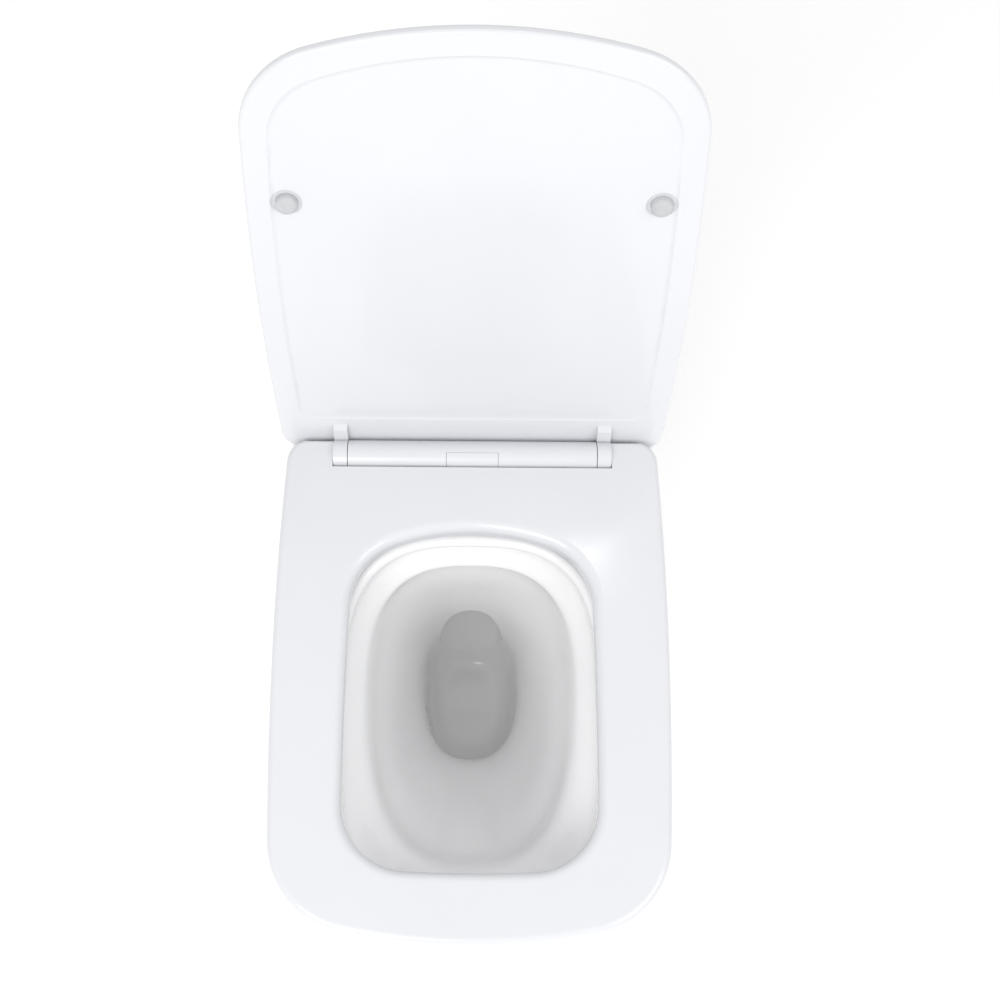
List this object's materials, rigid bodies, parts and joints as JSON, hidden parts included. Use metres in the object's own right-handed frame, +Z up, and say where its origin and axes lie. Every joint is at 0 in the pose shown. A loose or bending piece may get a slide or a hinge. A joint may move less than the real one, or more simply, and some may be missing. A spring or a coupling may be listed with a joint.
{
  "type": "close coupled toilet pan with soft-close seat",
  "caption": "White close coupled toilet pan with a rimless bowl, flat cistern deck, horizontal outlet, and a square soft-close seat and lid on a quick-release hinge bar.",
  "frame": {"origin": "on the floor under the middle of the part's overall box", "axes": "+Z up; -Y is the front, where the sitter's knees are; +Y points back to the wall; +X is to the right as seen from the front"},
  "size_m": [0.3614, 0.65, 0.8594],
  "materials": {
    "china": "gloss glaze",
    "seat_plastic": "gloss",
    "bar_plastic": "gloss",
    "grey_rubber": "matt",
    "black_rubber": "matt",
    "inner_plastic": "matt",
    "nut_plastic": "matt",
    "steel": "satin",
    "bracket_metal": "zinc"
  },
  "bodies": {
    "pan": {"base_plate_screws": "steel", "cone_washers": "black_rubber", "damper_body_left": "inner_plastic", "damper_body_right": "inner_plastic", "damper_caps": "inner_plastic", "fixing_washers": "steel", "floor_bracket_left": "bracket_metal", "floor_bracket_right": "bracket_metal", "hinge_base_plate": "inner_plastic", "hinge_housing": "bar_plastic", "mounting_post_left": "steel", "mounting_post_right": "steel", "pan": "china", "post_pads": "grey_rubber", "release_spring": "steel", "side_caps": "seat_plastic", "side_fixing_screws": "steel"},
    "seat": {"seat": "seat_plastic", "seat_bumpers": "grey_rubber", "damper_shaft_right": "steel", "hinge_bush_left": "inner_plastic"},
    "lid": {"lid": "seat_plastic", "lid_bumpers": "grey_rubber", "damper_shaft_left": "steel", "hinge_bush_right": "inner_plastic"},
    "release_button": {"release_button": "bar_plastic"},
    "latch_slide_left": {"latch_slide_left": "steel"},
    "latch_slide_right": {"latch_slide_right": "steel"},
    "wing_nut_left": {"wing_nut_left": "nut_plastic"},
    "wing_nut_right": {"wing_nut_right": "nut_plastic"}
  },
  "joints": [
    {"name": "lid_hinge", "type": "hinge", "parent": "pan", "child": "lid", "pos_m": [0, 0.115, 0.4205], "axis": [1, 0, 0], "range_deg": [0, 100]},
    {"name": "seat_hinge", "type": "hinge", "parent": "pan", "child": "seat", "pos_m": [0, 0.115, 0.4205], "axis": [1, 0, 0], "range_deg": [-98, 0]},
    {"name": "release_push", "type": "slide", "parent": "pan", "child": "release_button", "axis": [0, 0, -1], "range_m": [0, 0.0034], "stiffness_N_per_m": 400, "springref_m": -0.003, "deforming": ["release_spring"]},
    {"name": "latch_left", "type": "slide", "parent": "pan", "child": "latch_slide_left", "axis": [-1, 0, 0], "range_m": [0, 0.0034]},
    {"name": "latch_right", "type": "slide", "parent": "pan", "child": "latch_slide_right", "axis": [1, 0, 0], "range_m": [0, 0.0034]},
    {"name": "wing_nut_left_spin", "type": "hinge", "parent": "pan", "child": "wing_nut_left", "pos_m": [-0.0775, 0.1125, 0.37], "axis": [0, 0, 1], "continuous": true},
    {"name": "wing_nut_right_spin", "type": "hinge", "parent": "pan", "child": "wing_nut_right", "pos_m": [0.0775, 0.1125, 0.37], "axis": [0, 0, 1], "continuous": true}
  ],
  "couplings": [
    {"joint": "latch_left", "follows": "release_push", "ratio": 1},
    {"joint": "latch_right", "follows": "release_push", "ratio": 1}
  ]
}
